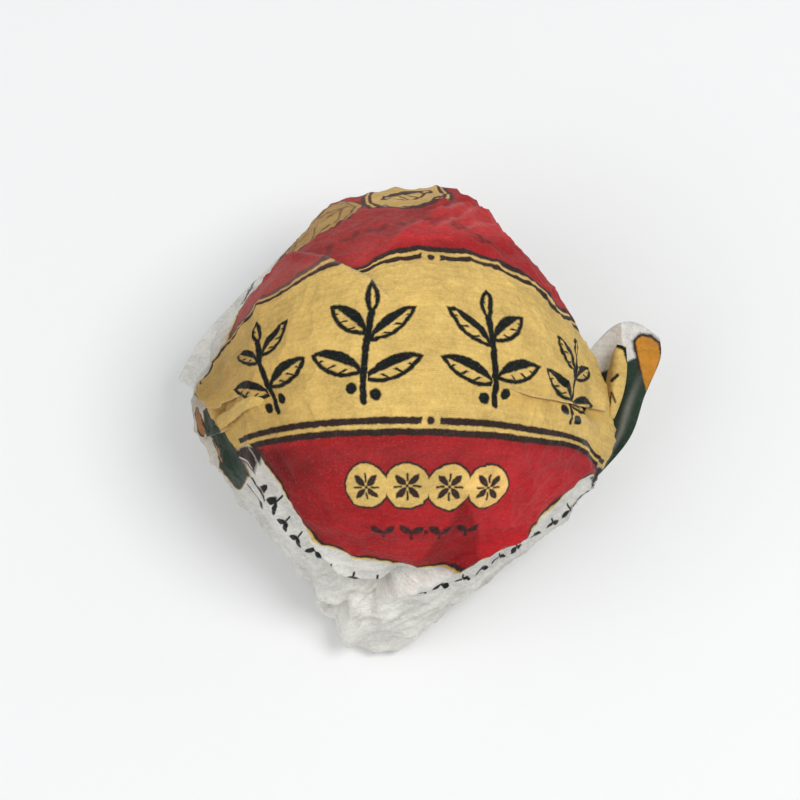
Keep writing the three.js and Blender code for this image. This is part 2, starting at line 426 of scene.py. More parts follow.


# The whole shape of the paper on the ball: its points, where they would be if it were only taut,
# the way it faces, its place on the sheet, and how much paper colour the folds' ridges mix in, as
# rubbed ink and painted highlight
def shapedPaper(outward):
    reach, facing = tautPaper(outward)
    taut = outward * reach[:, None]
    place = paperPlace(outward, reach)
    reach = reach + pleatRelief(outward)
    for swell in swells.values():
        reach += swell["height"] * spot(place, swell["at"], swell["reach"])
    raised = crumpleRelief(taut, place)
    wornAndHighlight = np.zeros(len(taut))
    for crease in creases.values():
        relief, rubbed = creaseRelief(taut, outward, crease)
        raised += relief
        wornAndHighlight = np.maximum(wornAndHighlight, rubbed)
    for seed, gather in enumerate(gathers.values()):
        raised += gatherRelief(taut, outward, gather, seed)
    for height, size in zip(pearl["lumpHeights"], pearl["lumpSizes"]):
        raised += height * lumps(taut, size, 3.1 * size)
    points = outward * reach[:, None] + facing * raised[:, None]
    return {"points": points, "taut": taut, "facing": facing, "place": place, "wornAndHighlight": wornAndHighlight}


# Small slips between the sheet and what the flat sheet would show, from place to print
slips = [
    {"at": (-13.0, -10.0), "shift": (-4.2, 0), "reach": 5.2},
    {"at": (6.5, 7.4), "shift": (0, -0.55), "reach": 3.5},
    {"at": (12.8, 4.6), "shift": (0, 1.0), "reach": 2.4},
    {"at": (17.0, -9.0), "shift": (0, -0.7), "reach": 4.0},
    {"at": (20.8, -5.8), "shift": (-0.9, 0.5), "reach": 2.6},
]
underlapSlips = [
    {"at": (-3.9, 5.5), "shift": (0, 1.4), "reach": 1.6},
    {"at": (-2.6, 6.4), "shift": (0, 0.6), "reach": 1.2},
]
bow = {"rise": 0.013, "fullHeight": 6}  # the ribbon's upper edge bows away on the left


def slipped(place, rows):
    return sum(spot(place, row["at"], row["reach"])[:, None] * row["shift"] for row in rows)


def printPlace(outward, paper, onTop=False):
    u, v = paper["place"].T
    shift = slipped(paper["place"], slips)
    shift[:, 1] += np.where(u < 0, bow["rise"] * u**2, 0) * np.clip(v / bow["fullHeight"], 0, 1)
    if not onTop:
        apart, side, _, _ = fromLine(paper["taut"], outward, overlap["line"])
        under = smooth(-apart * side, -2.0, -0.4)[:, None]
        shift += under * slipped(paper["place"], underlapSlips)
    return paper["place"] + shift


# Meshes: those of the pearl are written in metres from points counted from the ball's middle
def meshFrom(name, bm):
    mesh = bpy.data.meshes.new(name)
    bm.to_mesh(mesh)
    bm.free()
    return mesh


def readPoints(mesh):
    points = np.empty(len(mesh.vertices) * 3, np.float32)
    mesh.vertices.foreach_get("co", points)
    return points.reshape(-1, 3).astype(float)


def writePoints(mesh, points):
    mesh.vertices.foreach_set("co", ((points + centre) * mm).astype(np.float32).ravel())
    mesh.update()


def writePaper(mesh, printed, wornAndHighlight=None):
    corners = np.empty(len(mesh.loops), np.int32)
    mesh.loops.foreach_get("vertex_index", corners)
    paper = mesh.uv_layers.new(name="paper")
    paper.data.foreach_set("uv", printed[corners].astype(np.float32).ravel())
    rubbed = mesh.attributes.new("wornAndHighlight", "FLOAT", "POINT")
    if wornAndHighlight is not None:
        rubbed.data.foreach_set("value", wornAndHighlight.astype(np.float32))


def finishPiece(name, mesh, materials):
    mesh.shade_smooth()
    for material in materials:
        mesh.materials.append(material)
    piece = bpy.data.objects.new(name, mesh)
    bpy.context.scene.collection.objects.link(piece)
    return piece


def srgb(red, green, blue):
    channels = []
    for level in (red, green, blue):
        level /= 255
        channels.append(level / 12.92 if level <= 0.04045 else ((level + 0.055) / 1.055) ** 2.4)
    return (*channels, 1.0)


# One output in a material's nodes. Sums and comparisons of these add the Math nodes that do them.
class Term:
    def __init__(self, tree, socket):
        self.tree = tree
        self.socket = socket

    # another output of the same node
    def beside(self, output):
        return Term(self.tree, self.socket.node.outputs[output])

    def maths(self, operation, *others, **settings):
        inputs = dict(enumerate((self, *others)))
        return added(self.tree, "Math", inputs, operation=operation, **settings)

    def vector(self, operation, *others, output=0):
        inputs = dict(enumerate((self, *others)))
        return added(self.tree, "VectorMath", inputs, output, operation=operation)

    def __add__(self, other):
        return self.maths("ADD", other)

    def __sub__(self, other):
        return self.maths("SUBTRACT", other)

    def __mul__(self, other):
        return self.maths("MULTIPLY", other)

    def __neg__(self):
        return self.maths("MULTIPLY", -1.0)

    def __abs__(self):
        return self.maths("ABSOLUTE")

    def least(self, other):
        return self.maths("MINIMUM", other)

    def most(self, other):
        return self.maths("MAXIMUM", other)

    def distance(self, point):
        return self.vector("DISTANCE", point, output=1)

    def dot(self, direction):
        return self.vector("DOT_PRODUCT", direction, output=1)


def plug(tree, value, slot):
    if isinstance(value, Term):
        tree.links.new(value.socket, slot)
    else:
        slot.default_value = value


# Adds a node: what goes into it by name or number, which output is wanted, and its settings
def added(tree, kind, inputs, output=0, **settings):
    node = tree.nodes.new("ShaderNode" + kind)
    for name, value in settings.items():
        setattr(node, name, value)
    for name, value in inputs.items():
        plug(tree, value, node.inputs[name])
    return Term(tree, node.outputs[output])


# The sides of a vector as terms
def sides(place):
    x = added(place.tree, "SeparateXYZ", {0: place})
    return x, x.beside(1)


def together(tree, x, y):
    return added(tree, "CombineXYZ", {0: x, 1: y})


# Moves and turns a place so that a motif's own middle is at zero and its length along x
def aboutMotif(place, middle, turn=0.0):
    inputs = {"Vector": place, "Location": (*middle, 0), "Rotation": (0, 0, math.radians(turn))}
    return added(place.tree, "Mapping", inputs, vector_type="TEXTURE")


# Shapes are fields in millimetres, below zero inside
def disc(place, middle, size):
    return place.distance((*middle, 0)) - size


def bar(place, start, end, size):
    run = Vector((end[0] - start[0], end[1] - start[1], 0))
    offset = place.vector("SUBTRACT", (*start, 0))
    along = offset.dot(tuple(run / run.length_squared))
    along = along.maths("MULTIPLY", 1.0, use_clamp=True)  # stays between the bar's ends
    inputs = {0: tuple(run), "Scale": along}
    return offset.distance(added(place.tree, "VectorMath", inputs, operation="SCALE")) - size


# A line drawn through points, each stretch with its own half width
def stroke(place, points, sizes):
    field = None
    for start, end, size in zip(points, points[1:], sizes):
        stretch = bar(place, start, end, size)
        field = field.least(stretch) if field else stretch
    return field


def lens(place, halfLength, halfWidth):
    offset = (halfLength**2 - halfWidth**2) / (2 * halfWidth)
    return place.vector("ABSOLUTE").distance((0, -offset, 0)) - (offset + halfWidth)


# A shape with straight sides through corners that go round anticlockwise
def facet(place, corners):
    field = None
    for start, end in zip(corners, corners[1:] + corners[:1]):
        run = Vector((end[0] - start[0], end[1] - start[1], 0)).normalized()
        side = place.dot((run.y, -run.x, 0)) - (start[0] * run.y - start[1] * run.x)
        field = field.most(side) if field else side
    return field


# Cells side by side: how far a field is from the middle of the cell that it is in
def repeated(field, pitch):
    return ((field * (1 / pitch)).maths("FRACT") - 0.5) * pitch


# A leaf in ink: an outline, one half solid and the other half veined
def inkLeaf(place, middle, turn, halfLength, halfWidth, line=0.16, vein=0.95):
    own = aboutMotif(place, middle, turn)
    edge = lens(own, halfLength, halfWidth)
    along, across = sides(own)
    outline = abs(edge + line) - line
    solid = edge.most(-across + 0.1)
    slope = (along + across * 0.9) * (1 / vein)
    stripe = (-abs(slope.maths("FRACT") - 0.5) + 0.5) * vein - 0.11
    veined = edge.most(across + 0.1).most(stripe)
    return outline.least(solid).least(veined)


def inside(field, soft=0.12):
    inputs = {"Value": field, "From Min": soft / 2, "From Max": -soft / 2}
    return added(field.tree, "MapRange", inputs)


# A print while it is drawn: its place on the sheet and its colour, each ink or tone over the last
class Print:
    def __init__(self, place, ground):
        self.place = place
        self.tree = place.tree
        self.colour = ground

    def flood(self, name):
        self.colour = inks[name]

    def mix(self, blend, over, mask):
        inputs = {0: mask, 6: self.colour, 7: over}  # its share and its two colours
        self.colour = added(self.tree, "Mix", inputs, 2, data_type="RGBA", blend_type=blend)

    def ink(self, name, mask):
        self.mix("MIX", inks[name], mask)

    def tone(self, name, mask):
        self.mix("MULTIPLY", (*tones[name], 1), mask)


def cloud(place, scale, detail=2.0, rough=0.5):
    inputs = {"Vector": place, "Scale": scale, "Detail": detail, "Roughness": rough}
    grey = added(place.tree, "TexNoise", inputs, "Fac")
    return grey, grey.beside("Color")


inks = {
    "paper": srgb(234, 231, 223),
    "red": srgb(178, 34, 38),
    "gold": srgb(233, 196, 114),
    "brown": srgb(58, 42, 38),
    "black": srgb(26, 30, 27),
    "green": srgb(50, 68, 54),
    "orange": srgb(208, 140, 50),
    "amber": srgb(186, 134, 82),
    "dust": srgb(115, 70, 68),
    "rubbed red": srgb(160, 105, 98),
    "bare red": srgb(200, 140, 130),
    "crown painted highlight": srgb(232, 120, 118),
}

# What makes an ink darker or paler in places: shares of its red, green and blue
tones = {
    "leaf patch": (0.72, 0.66, 0.58),
    "crown painted light": (1.25, 1.15, 1.15),
    "heavy red and shade": (0.42, 0.4, 0.42),
    "paler red": (1.35, 1.2, 1.35),
    "painted shade on gold": (0.77, 0.7, 0.62),
    "band fold shadow": (0.84, 0.72, 0.5),
    "doubled red shade": (0.5, 0.38, 0.42),
    "low fold": (0.86, 0.5, 0.5),
    "lip shade": (0.4, 0.36, 0.36),
}

# The print: a red disc on white with a gold ribbon across it. Millimetres on the flat sheet.
printing = {
    "middle": (1.8, 0.0),
    "discSize": 19.4,
    "ribbonHalf": 7.1,
    "ribbonEnd": 20.3,
    "lineFromEdge": 1.05,
    "sprigPitch": 8.7,
    "coinRow": -10.8,
    "coinPitch": 3.27,
    "coinSize": 1.78,
    "sproutRow": -14.8,
    "sproutPitch": 2.5,
    "arcMiddle": (1.0, -4.0),
    "arcSize": 14.4,
    "arcPitch": 2.1,
    "borderSize": 22.2,
    "borderPitch": 2.75,
    "ringAt": (0.2, 18.7),
    "ringSize": 4.3,
    "patchAt": (-7.8, 15.6),
    "patchTurn": 28,
}


# How far out a place is, which wavers a little, and how far past the disc's edge. The disc
# reaches further at the top.
def fromDisc(place):
    _, v = sides(place)
    waver, _ = cloud(place, 0.22, 1.0)
    rim = place.distance((*printing["middle"], 0)) + (waver - 0.5) * 0.9
    return rim, rim - (v - 11.0).most(0.0) * 0.35 - printing["discSize"]


# How far right of the print's middle a place is, and how high
def acrossFrom(place):
    u, v = sides(place)
    return u - printing["middle"][0], v


# The right half of the sheet laid over the left
def halved(place):
    across, v = acrossFrom(place)
    return together(place.tree, abs(across), v)


def drawDisc(art, edge):
    _, v = sides(art.place)
    art.ink("gold", inside(edge - 0.28, 0.1))
    art.ink("brown", inside(edge - 0.08, 0.12))
    art.ink("red", inside(edge + 0.22, 0.2))
    underRibbon = inside(abs(v + 8.4) - 0.9, 2.4) * inside(edge, 0.2)
    art.ink("dust", underRibbon * 0.25)


# The ribbon's tails, folded back behind its ends
def drawTails(art):
    tail = halved(art.place)
    green = facet(tail, [(20.2, -4.6), (24.9, -3.4), (25.0, -1.8), (24.4, -0.4), (20.2, -0.4)])
    green = green.least(facet(tail, [(20.6, -9.4), (24.9, -8.6), (24.7, -3.2), (20.0, -3.6)]))
    green = green.least(disc(tail, (22.7, -8.0), 2.25))
    art.ink("amber", inside(green - 0.12))
    art.ink("green", inside(green))
    orange = bar(tail, (25.7, 0.9), (25.6, -2.0), 0.62)
    orange = orange.least(lens(aboutMotif(tail, (24.4, -5.3), 67), 2.0, 0.6))
    art.ink("brown", inside(orange - 0.08))
    art.ink("amber", inside(orange + 0.08))
    # the dark notch in brown ink, and a painted shadow beside it
    notch = facet(tail, [(20.7, -7.0), (19.9, -6.6), (18.6, -6.8), (18.9, -8.3), (19.9, -9.3)])
    shadow = facet(tail, [(18.6, -6.8), (17.0, -7.4), (18.9, -8.6)])
    art.ink("brown", inside(notch.least(shadow), 0.25))
    art.ink("paper", inside(bar(tail, (20.3, -7.5), (19.8, -8.7), 0.09)))
    string = bar(tail, (20.5, -9.6), (19.6, -12.0), 0.1)
    art.ink("black", inside(string.least(bar(tail, (21.2, -10.2), (20.4, -13.2), 0.1))))


# The ribbon, a line inside each of its edges, and a dot in the middle of each line
def drawRibbon(art, edge):
    tail = halved(art.place)
    aside, v = sides(tail)
    past = abs(v) - printing["ribbonHalf"]
    slant = ((v + 4.6).most(0.0) * 0.82).least(v.most(0.0) * 0.28 + 2.9)
    ends = aside - slant - printing["ribbonEnd"]
    art.ink("brown", inside(past.most(edge + 0.1).least((past + 0.5).most(ends - 0.1))))
    art.ink("gold", inside((past + 0.5).most(ends)))
    line = abs(past + printing["lineFromEdge"]) - 0.25
    line = line.most(-aside + 0.65).most(ends + 0.7)
    line = line.least((abs(ends + 0.75) - 0.12).most(-v + 5.2).most(past + 1.0))
    dot = disc(together(art.tree, aside, past), (0, -printing["lineFromEdge"]), 0.27)
    art.ink("brown", inside(line.least(dot)))


# A sprig of tea in ink, a bud over two pairs of leaves, about 8 mm high
def sprig(place):
    x, y = sides(place)
    bent = x - (y * 0.45).maths("SINE") * 0.35
    shifted = y + x.maths("GREATER_THAN", 0.0) * 0.5
    paired = together(place.tree, abs(bent), shifted)
    single = together(place.tree, bent, y)
    stem = bar(single, (0, -4.2), (0, 2.0), 0.26)
    bud = inkLeaf(single, (0, 3.1), 90, 1.25, 0.5)
    upper = inkLeaf(paired, (1.55, 1.6), 42, 2.0, 0.78)
    lower = inkLeaf(paired, (2.0, -1.5), 22, 2.15, 0.85)
    seeds = disc(paired, (0.85, -3.3), 0.42)
    return stem.least(bud).least(upper).least(lower).least(seeds)


# Two small leaves on a stalk
def sprout(place, size):
    x, y = sides(place)
    paired = together(place.tree, abs(x), y)
    blade = lens(aboutMotif(paired, (0.34 * size, 0.14 * size), 38), 0.46 * size, 0.23 * size)
    return blade.least(bar(place, (0, -0.46 * size), (0, 0), 0.09 * size))


# Four sprigs along the ribbon, every second one turned round
def drawSprigs(art):
    across, v = acrossFrom(art.place)
    pitch = printing["sprigPitch"]
    flip = (across * (1 / pitch)).maths("FLOOR").maths("PINGPONG", 1.0) * 2 - 1
    motif = together(art.tree, repeated(across, pitch) * flip, v + 0.5)
    art.ink("black", inside(sprig(motif).most(abs(across) - 2 * pitch)))


# Four gold coins side by side, each with a blossom
def drawCoins(art):
    across, v = acrossFrom(art.place)
    pitch, row, size = printing["coinPitch"], printing["coinRow"], printing["coinSize"]
    coin = together(art.tree, repeated(across, pitch), v - row)
    last = disc(halved(art.place), (1.5 * pitch, row), size)
    face = disc(coin, (0, 0), size).most(abs(across) - 1.5 * pitch).least(last)
    art.ink("brown", inside(face - 0.14))
    art.ink("gold", inside(face + 0.05))
    quarter = coin.vector("ABSOLUTE")
    blossom = lens(aboutMotif(quarter, (0.5, 0.5), 45), 0.6, 0.27)
    blossom = blossom.least(bar(quarter, (0.45, 0), (1.0, 0), 0.09))
    blossom = blossom.least(bar(quarter, (0, 0.45), (0, 1.0), 0.09))
    blossom = blossom.least(disc(coin, (0, 0), 0.14))
    art.ink("brown", inside(blossom.most(abs(across) - 2 * pitch - 0.15)))


# A row of sprouts under the coins, with a dot in the middle, and a smaller one over the ribbon
def drawRows(art):
    across, v = acrossFrom(art.place)
    row, pitch = printing["sproutRow"], printing["sproutPitch"]
    low = sprout(together(art.tree, repeated(across, pitch), v - row), 1.5)
    low = low.most(abs(across) - 2 * pitch)
    low = low.least(disc(art.place, (printing["middle"][0], row), 0.2))
    art.ink("black", inside(low, 0.2) * 0.9)
    u, _ = sides(art.place)
    middle, size = printing["arcMiddle"], printing["arcSize"]
    aside = u - middle[0]
    around = aside.maths("ARCTAN2", v - middle[1]) * size
    outwards = art.place.distance((*middle, 0)) - size
    high = sprout(together(art.tree, repeated(around, printing["arcPitch"]), outwards), 1.15)
    art.ink("black", inside(high.most(abs(aside) - 7.0).most(-v + 5.0), 0.3) * 0.6)


# Sprouts in the white border
def drawBorder(art, rim):
    across, v = acrossFrom(art.place)
    around = across.maths("ARCTAN2", v) * printing["borderSize"]
    cell = together(art.tree, repeated(around, printing["borderPitch"]), rim - printing["borderSize"])
    marks = sprout(cell, 1.5).most(v + 10.5).most(-disc(art.place, (-1.0, -22.2), 1.6))
    art.ink("black", inside(marks))


# At the top of the disc a leaf in a gold ring, and a veined gold leaf beside it
def drawLeaves(art):
    at = printing["ringAt"]
    ring = disc(art.place, at, printing["ringSize"])
    art.ink("brown", inside(ring))
    art.ink("gold", inside(ring + 0.45))
    art.ink("brown", inside(abs(ring + 0.85) - 0.16))
    art.ink("black", inside(inkLeaf(art.place, at, 20, 2.6, 1.2)))
    leaf = aboutMotif(art.place, printing["patchAt"], printing["patchTurn"])
    patch = lens(leaf, 4.3, 2.9)
    art.ink("brown", inside(patch - 0.2))
    art.ink("gold", inside(patch))
    art.tone("leaf patch", inside(patch))
    art.ink("brown", inside(abs(patch + 0.55) - 0.1) * 0.8)
    along, across = sides(leaf)
    rib = abs((along * 1.3 + abs(across) * 1.1).maths("SINE")) - 0.22
    rib = rib.least(abs(across) - 0.1)
    art.ink("brown", inside(rib.most(patch + 0.8)) * 0.6)


# The crown is rubbed dull on one side of its fold. On the other side, which faces the light, its red
# is lightened and tinted pink as painted light.
def drawCrown(art, edge):
    dull = [(-1.3, 7.4), (4.9, 14.3), (5.4, 22.0), (-14.0, 22.0), (-11.8, 10.9), (-5.0, 6.3)]
    art.ink("rubbed red", inside(facet(art.place, dull), 0.8) * 0.2)
    shoulder = facet(art.place, [(-21.0, 6.3), (-5.0, 6.3), (-11.8, 10.9), (-21.0, 13.0)])
    art.ink("bare red", inside(shoulder.most(edge), 0.8) * 0.3)
    # painted light: the side of the crown fold that faces the light, lightened and tinted pink
    litSide = facet(art.place, [(-1.0, 7.6), (3.0, 8.0), (9.5, 12.5), (7.0, 16.4), (5.2, 15.6)])
    art.tone("crown painted light", inside(litSide, 0.6))
    art.ink("crown painted highlight", inside(litSide, 1.6) * 0.16)


# Painted shade and tone over the print: the red darker on the left from heavier ink and painted
# shade, the red paler on the right, painted shade on the gold's left, a painted shadow under the
# band's fold, painted shade where a fold doubles the red, and a pink line with painted shade along
# the low fold
def drawShades(art, edge):
    u, v = sides(art.place)
    belowRibbon = edge.most(v + 7.5)
    # the red darker on the left: heavier ink, with painted shade
    art.tone("heavy red and shade", inside(u + 11.0, 12.0) * inside(belowRibbon, 0.6))
    # the red paler towards the right
    art.tone("paler red", inside(-u + 7.0, 9.0) * inside(belowRibbon, 0.4))
    # painted shade: the gold darker on the left, where the band turns away from the light
    art.tone("painted shade on gold", inside((u + 9.5).most(abs(v) - printing["ribbonHalf"]), 12.0))
    # a painted shadow, darker amber, under the band's fold
    bandFoldShadow = stroke(art.place, [(8.0, -4.0), (13.5, -3.9), (20.5, -2.1)], [0.15, 0.3])
    art.tone("band fold shadow", inside(bandFoldShadow, 1.4) * 0.6)
    # painted shade where a fold doubles the red
    doubledShade = [(4.8, -11.6), (1.6, -18.2), (3.5, -19.8), (7.6, -18.6), (6.8, -15.0)]
    art.tone("doubled red shade", inside(facet(art.place, doubledShade), 0.5) * 0.7)
    # a pinkish line along the low fold: red showing through the paper, with painted crease shade
    lowFoldShade = stroke(art.place, [(7.5, -17.8), (0.2, -21.7), (-3.0, -23.6)], [0.12, 0.08])
    art.tone("low fold", inside(lowFoldShade, 0.6) * 0.25)


def bodyPrint(art):
    rim, edge = fromDisc(art.place)
    drawDisc(art, edge)
    drawTails(art)
    drawRibbon(art, edge)
    drawSprigs(art)
    drawCoins(art)
    drawRows(art)
    drawBorder(art, rim)
    drawLeaves(art)
    drawCrown(art, edge)
    drawShades(art, edge)


# How the thin paper looks: its fibres are clouds with a scale, a detail and a roughness
thinPaper = {
    "roughness": 0.5,
    "specular": 0.12,
    "creep": (2.6, 3.0, 0.6),
    "creepReach": 0.22,
    "soft": (0.45, 3.0, 0.55),
    "grain": (4.5, 3.0, 0.65),
    "streaks": (1.0, 4.0, 0.65),
    "fibres": (7.0, 2.0, 0.7),
    "crepe": (1.4, 4.0, 0.6),
    "laidTurn": -35,
    "laidScale": (0.35, 2.6, 1),
    "threads": (60.0, 11.0),
    "mottle": {"soft": 0.7, "grain": 0.55, "streaks": 0.5, "threads": 0.13},
    "relief": {"streaks": 0.9, "threads": 0.12, "fibres": 0.3},
    "rubbed": 0.3,
    "specks": 0.08,
    "bumpDistance": 0.00018,
    "bumpStrength": 0.8,
}


def paperMaterial(name, drawPrint=None):
    material = bpy.data.materials.new(name)
    material.use_nodes = True
    tree = material.node_tree
    shader = tree.nodes["Principled BSDF"]
    shader.inputs["Roughness"].default_value = thinPaper["roughness"]
    shader.inputs["Specular IOR Level"].default_value = thinPaper["specular"]
    solid = added(tree, "TexCoord", {}, "Object").vector("MULTIPLY", (1000, 1000, 1000))
    flat = added(tree, "UVMap", {}, uv_map="paper")

    # ink creeps a little along the fibres
    _, creep = cloud(solid, *thinPaper["creep"])
    reach = thinPaper["creepReach"]
    creep = creep.vector("SUBTRACT", (0.5, 0.5, 0.5)).vector("MULTIPLY", (reach, reach, 0))
    art = Print(flat.vector("ADD", creep), inks["paper"])
    if drawPrint:
        drawPrint(art)

    # mottled ink, pale specks where fibres stand out, and the paper colour mixed in along folds and
    # ridges, partly rubbed ink and partly painted highlight
    soft, _ = cloud(solid, *thinPaper["soft"])
    grain, _ = cloud(solid, *thinPaper["grain"])
    turn = (0, 0, math.radians(thinPaper["laidTurn"]))
    inputs = {"Vector": flat, "Rotation": turn, "Scale": thinPaper["laidScale"]}
    laid = added(tree, "Mapping", inputs)
    streaks, _ = cloud(laid, *thinPaper["streaks"])
    x, y = sides(laid)
    closeness, length = thinPaper["threads"]
    threads = (x * closeness).maths("SINE") * (y * length).maths("SINE")
    mottle = thinPaper["mottle"]
    value = (soft - 0.5) * mottle["soft"] + (grain - 0.5) * mottle["grain"]
    value = value + (streaks - 0.5) * mottle["streaks"] + threads * mottle["threads"] + 1.0
    art.colour = added(tree, "HueSaturation", {"Color": art.colour, "Value": value})
    rubbed = added(tree, "Attribute", {}, "Fac", attribute_name="wornAndHighlight")
    fibres, _ = cloud(solid, *thinPaper["fibres"])
    specks = inside(-fibres + 0.66, 0.16) * thinPaper["specks"]
    art.ink("paper", (rubbed * thinPaper["rubbed"]).most(specks))
    plug(tree, art.colour, shader.inputs["Base Color"])

    # the weave and the crepe of the paper
    crepe, _ = cloud(solid, *thinPaper["crepe"])
    relief = thinPaper["relief"]
    height = crepe + streaks * relief["streaks"] + threads * relief["threads"]
    height = height + fibres * relief["fibres"]
    distance, strength = thinPaper["bumpDistance"], thinPaper["bumpStrength"]
    inputs = {"Distance": distance, "Strength": strength, "Height": height}
    plug(tree, added(tree, "Bump", inputs), shader.inputs["Normal"])
    return material


printedPaper = paperMaterial("printed_paper", bodyPrint)
barePaper = paperMaterial("bare_paper")
print("materials made")


# Small deep places that the overlapping edges leave open
pits = [{"at": (-18.9, -2.5), "reach": 0.8, "height": -1.2}]


def buildBody():
    bm = bmesh.new()
    bmesh.ops.create_icosphere(bm, subdivisions=pearl["divisions"], radius=1.0)
    camera = Vector(cameraWay)
    tail = Vector(towards(*pearl["tail"]))
    fine = []
    for face in bm.faces:
        middle = face.calc_center_median()
        if middle.dot(camera) > pearl["fineSide"] or middle.dot(tail) > pearl["fineTail"]:
            fine.append(face)
    edges = {edge for face in fine for edge in face.edges}
    bmesh.ops.subdivide_edges(bm, edges=list(edges), cuts=1, use_grid_fill=True)
    bmesh.ops.triangulate(bm, faces=[face for face in bm.faces if len(face.verts) > 3])
    mesh = meshFrom("paper_body", bm)
    outward = unit(readPoints(mesh))
    paper = shapedPaper(outward)
    points = paper["points"]
    for pit in pits:
        depth = pit["height"] * spot(paper["place"], pit["at"], pit["reach"])
        points += paper["facing"] * depth[:, None]
    points[:, 2] = np.maximum(points[:, 2], -centre[2])
    writePaper(mesh, printPlace(outward, paper), paper["wornAndHighlight"])
    writePoints(mesh, points)
    body = finishPiece("paper_body", mesh, [printedPaper])
    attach(body, "root")
    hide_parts("wrapped_pearl")
    print("body made:", len(mesh.polygons), "faces")


buildBody()


# A grid, and how far along and across it each vertex is
def buildGrid(name, rows, columns):
    bm = bmesh.new()
    bmesh.ops.create_grid(bm, x_segments=rows, y_segments=columns, size=0.5)
    mesh = meshFrom(name, bm)
    flat = readPoints(mesh)[:, :2]
    flat = (flat - flat.min(axis=0)) / (flat.max(axis=0) - flat.min(axis=0))
    return mesh, flat[:, 0], flat[:, 1]


# The points of a soft line, one for each vertex of a grid, by how far along the grid it is
def lineAt(places, along, toPoints=np.asarray):
    steps = len(np.unique(np.round(along, 5)))
    step = np.round(along * (steps - 1)).astype(int)
    return toPoints(throughPlaces(places, steps))[step]


def finishSheet(name, mesh, materials, facing, thickness):
    normals = np.empty(len(mesh.polygons) * 3, np.float32)
    mesh.polygons.foreach_get("normal", normals)
    if normals.reshape(-1, 3).mean(axis=0) @ np.asarray(facing) < 0:
        mesh.flip_normals()
    sheet = finishPiece(name, mesh, materials)
    solid = sheet.modifiers.new("thickness", "SOLIDIFY")
    solid.thickness = thickness * mm
    solid.offset = -1
    solid.material_offset = len(materials) - 1  # the last material is the back's
    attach(sheet, "root")


# Edges of paper that lie on top of the rest. Each follows places on the sheet, and its paper lies
# back on the left of them until it has sunk into the paper underneath.
lips = [
    {
        "name": "overlap_lip",
        "edge": overlap["path"],
        "width": 3.0,
        "lift": 0.2,
        "ends": (0.25, 0.05),
    },
    {
        "name": "left_tuck_lip",
        "edge": [
            (-22.9, 2.0), (-22.3, 1.2), (-21.6, 0.4), (-20.6, -0.5), (-19.2, -1.6),
            (-17.7, -2.2), (-16.2, -2.3), (-14.2, -2.5), (-12.7, -2.6),
        ],
        "width": 2.2,
        "lift": 0.4,
        "ends": (0.1, 0.3),
    },
    {
        "name": "band_fold_lip",
        "edge": [
            (6.6, -3.2), (8.0, -3.4), (10.2, -3.5), (12.3, -3.3), (14.4, -3.0),
            (16.3, -2.6), (18.2, -2.1), (19.8, -1.7), (21.2, -1.2),
        ],
        "width": 2.2,
        "lift": 0.3,
        "ends": (0.35, 0.1),
    },
    {
        "name": "green_tuck_lip",
        "edge": [
            (-24.6, -2.6), (-23.1, -3.0), (-21.2, -3.6), (-19.5, -4.1), (-17.9, -4.5), (-16.8, -4.5),
        ],
        "width": 1.5,
        "lift": 0.16,
        "ends": (0.1, 0.1),
    },
]

# What all paper laid on the body shares, and how a lip's edge stands clear and its back sinks in
laidPaper = {
    "grid": (90, 14),
    "thickness": 0.09,
    "wornAndHighlight": 0.5,
    "wornAndHighlightWidth": 0.05,
    "creaseWearAndHighlight": 0.3,
}
lipSlope = {"clear": 0.14, "power": 1.5, "sunk": 0.04, "backSunk": 0.1}


# Paper that lies on the body between two lines of places, raised by lift(along, across)
def layPaper(name, low, high, lift, slide=(0, 0)):
    mesh, along, across = buildGrid(name, *laidPaper["grid"])
    lowLine = lineAt(low, along, outwardAt)
    highLine = lineAt(high, along, outwardAt)
    outward = unit(lowLine + (highLine - lowLine) * across[:, None])
    paper = shapedPaper(outward)
    bareEdge = laidPaper["wornAndHighlight"] * np.exp(-((across / laidPaper["wornAndHighlightWidth"]) ** 2))
    wornAndHighlight = np.maximum(paper["wornAndHighlight"] * laidPaper["creaseWearAndHighlight"], bareEdge)
    writePaper(mesh, printPlace(outward, paper, onTop=True) + slide, wornAndHighlight)
    writePoints(mesh, paper["points"] + paper["facing"] * lift(along, across)[:, None])
    finishSheet(name, mesh, [printedPaper], outward.mean(axis=0), laidPaper["thickness"])


def buildLip(lip):
    edge = np.array(lip["edge"], float)
    run = unit(np.gradient(edge, axis=0))
    back = edge + np.stack([-run[:, 1], run[:, 0]], axis=1) * lip["width"]
    start, end = lip["ends"]

    def lift(along, across):
        fade = smooth(along, 0, start) * smooth(1 - along, 0, end)
        rise = (lip["lift"] + lipSlope["clear"]) * fade * (1 - across) ** lipSlope["power"]
        return rise - lipSlope["sunk"] - lipSlope["backSunk"] * across

    layPaper(lip["name"], edge, back, lift)


for lip in lips:
    buildLip(lip)

# The narrow folded strip at the left end of the ribbon, open at its left end
strip = {
    "bottom": [(-17.5, -4.3), (-15.0, -4.2), (-13.1, -4.0), (-11.8, -3.9), (-10.2, -3.8)],
    "top": [(-18.7, -2.7), (-15.6, -3.1), (-13.7, -3.0), (-12.3, -3.0), (-10.2, -3.3)],
    "lift": 0.4,
    "openTo": 0.25,
    "clear": 0.12,
    "roundness": 0.45,
    "endSunk": 0.2,
    "slide": (7.5, 8.3),
}


def stripLift(along, across):
    crown = 1 - strip["roundness"] * (2 * across - 1) ** 2
    rise = strip["lift"] * (1 - smooth(along, strip["openTo"], 1)) + strip["clear"]
    return rise * crown - strip["endSunk"] * along**2


layPaper("left_strip", strip["bottom"], strip["top"], stripLift, strip["slide"])
print("overlapping edges laid")


# Where points are in the camera's picture plane
def pictured(points):
    closer = view["distance"] / (view["distance"] - points @ cameraWay)
    return np.stack([points @ rightWay * closer, points @ upWay * closer], axis=1)


